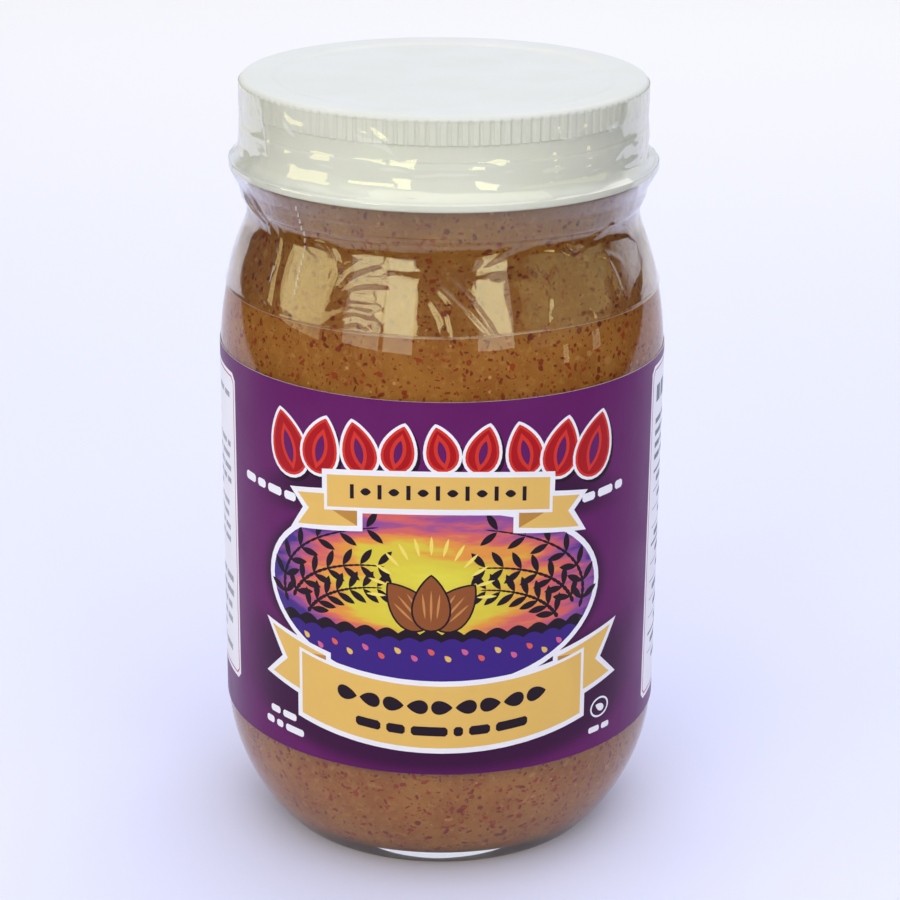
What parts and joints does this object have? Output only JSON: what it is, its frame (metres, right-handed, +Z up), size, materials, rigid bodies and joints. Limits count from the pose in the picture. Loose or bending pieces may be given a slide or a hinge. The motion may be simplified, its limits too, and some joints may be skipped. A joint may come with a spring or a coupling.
{
  "type": "almond butter jar",
  "caption": "Full, sealed glass jar of ground almond spread with a knurled white metal screw lid, a wrap-round label and a clear shrink band over the lid and shoulder.",
  "frame": {"origin": "centre of the base, on the surface that the jar stands on", "axes": "+Z up along the jar's axis, the middle of the label faces -Y"},
  "size_m": [0.0772, 0.0772, 0.1339],
  "materials": {
    "clear_glass": "clear flint glass, smooth and polished",
    "almond_butter": null,
    "white_enamel": "off-white enamel on pressed tinplate, satin gloss",
    "printed_label": null,
    "clear_film": "clear shrunk film, glossy and wrinkled"
  },
  "bodies": {
    "root": {"jar_glass": "clear_glass", "almond_butter": "almond_butter", "lid": "white_enamel", "label": "printed_label", "shrink_band": "clear_film"}
  },
  "joints": []
}
